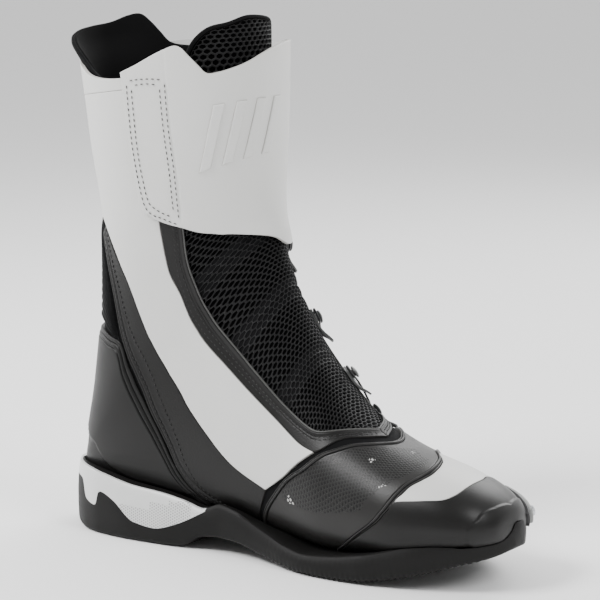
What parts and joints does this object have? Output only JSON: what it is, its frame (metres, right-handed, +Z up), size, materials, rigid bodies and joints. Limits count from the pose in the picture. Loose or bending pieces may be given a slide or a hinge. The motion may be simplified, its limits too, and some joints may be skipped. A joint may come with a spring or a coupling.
{
  "type": "motorcycle riding boot",
  "caption": "Left ankle-high sport riding boot with moulded sole, heel cup, toe slider, front mesh, wire lace on a reel and a wrap-round closure flap.",
  "frame": {"origin": "centre of the bounding box in plan, on the ground under the sole", "axes": "+X to the toe, +Z up the shaft, -Y is the medial side of this left boot"},
  "size_m": [0.307, 0.1162, 0.3132],
  "materials": {
    "white_leather": "white coated microfibre leather, fine grain",
    "black_leather": "black microfibre leather, satin",
    "mesh_fabric": "black spacer mesh with open hexagonal cells",
    "stretch_fabric": "black stretch fabric",
    "lining_fabric": "black brushed lining",
    "sole_rubber": "matt black rubber",
    "hard_black": "black moulded TPU",
    "pale_plastic": "pale silver-white moulded TPU with a fine cell texture",
    "grey_plastic": "grey moulded TPU",
    "steel": "steel screw",
    "lace_wire": "coated wire lace"
  },
  "bodies": {
    "foot": {"outsole": "sole_rubber", "heel_insert": "pale_plastic", "insole_board": "lining_fabric", "footbed": "stretch_fabric", "vamp_overlay": "black_leather", "toe_panel": "white_leather", "toe_cap": "black_leather", "heel_counter": "hard_black", "toe_slider_base": "hard_black", "toe_slider": "grey_plastic", "slider_screw_1": "steel", "slider_screw_2": "steel", "lace_hook_4": "hard_black", "lace_hook_5": "hard_black", "lace_hook_6": "hard_black"},
    "shaft": {"white_quarter_medial": "white_leather", "white_quarter_lateral": "white_leather", "black_quarter_medial": "black_leather", "black_quarter_lateral": "black_leather", "eyestay_medial": "black_leather", "eyestay_lateral": "black_leather", "front_mesh": "mesh_fabric", "lace_gusset": "stretch_fabric", "heel_bellows": "stretch_fabric", "bootie_lining": "lining_fabric", "lace": "lace_wire", "cuff_band": "white_leather", "rear_collar": "lining_fabric", "tongue": "mesh_fabric", "flap_loop_pad": "stretch_fabric", "lace_hook_1": "hard_black", "lace_hook_2": "hard_black", "lace_hook_3": "hard_black", "reel_base": "hard_black"},
    "flap": {"closure_flap": "white_leather", "flap_hook_pad": "stretch_fabric"},
    "reel_stem": {"reel_cap": "grey_plastic"},
    "reel_knob": {"reel_knob": "hard_black"}
  },
  "joints": [
    {"name": "ankle_flex", "type": "hinge", "parent": "foot", "child": "shaft", "pos_m": [-0.0785, 0, 0.095], "axis": [0, 1, 0], "range_deg": [-8, 12], "stiffness_Nm_per_rad": 20, "deforming": ["white_quarter_medial", "white_quarter_lateral", "black_quarter_medial", "black_quarter_lateral", "eyestay_medial", "eyestay_lateral", "front_mesh", "lace_gusset", "heel_bellows", "bootie_lining", "lace"]},
    {"name": "flap_open", "type": "hinge", "parent": "shaft", "child": "flap", "pos_m": [-0.05747, 0.04047, 0.1968], "axis": [-0.0402, 0.1158, 0.9925], "range_deg": [0, 120]},
    {"name": "reel_pull", "type": "slide", "parent": "shaft", "child": "reel_stem", "axis": [-0.1612, 0.9784, -0.1292], "range_m": [0, 0.003]},
    {"name": "reel_turn", "type": "hinge", "parent": "reel_stem", "child": "reel_knob", "pos_m": [-0.0916, 0.0429, 0.212], "axis": [-0.1612, 0.9784, -0.1292], "continuous": true}
  ]
}
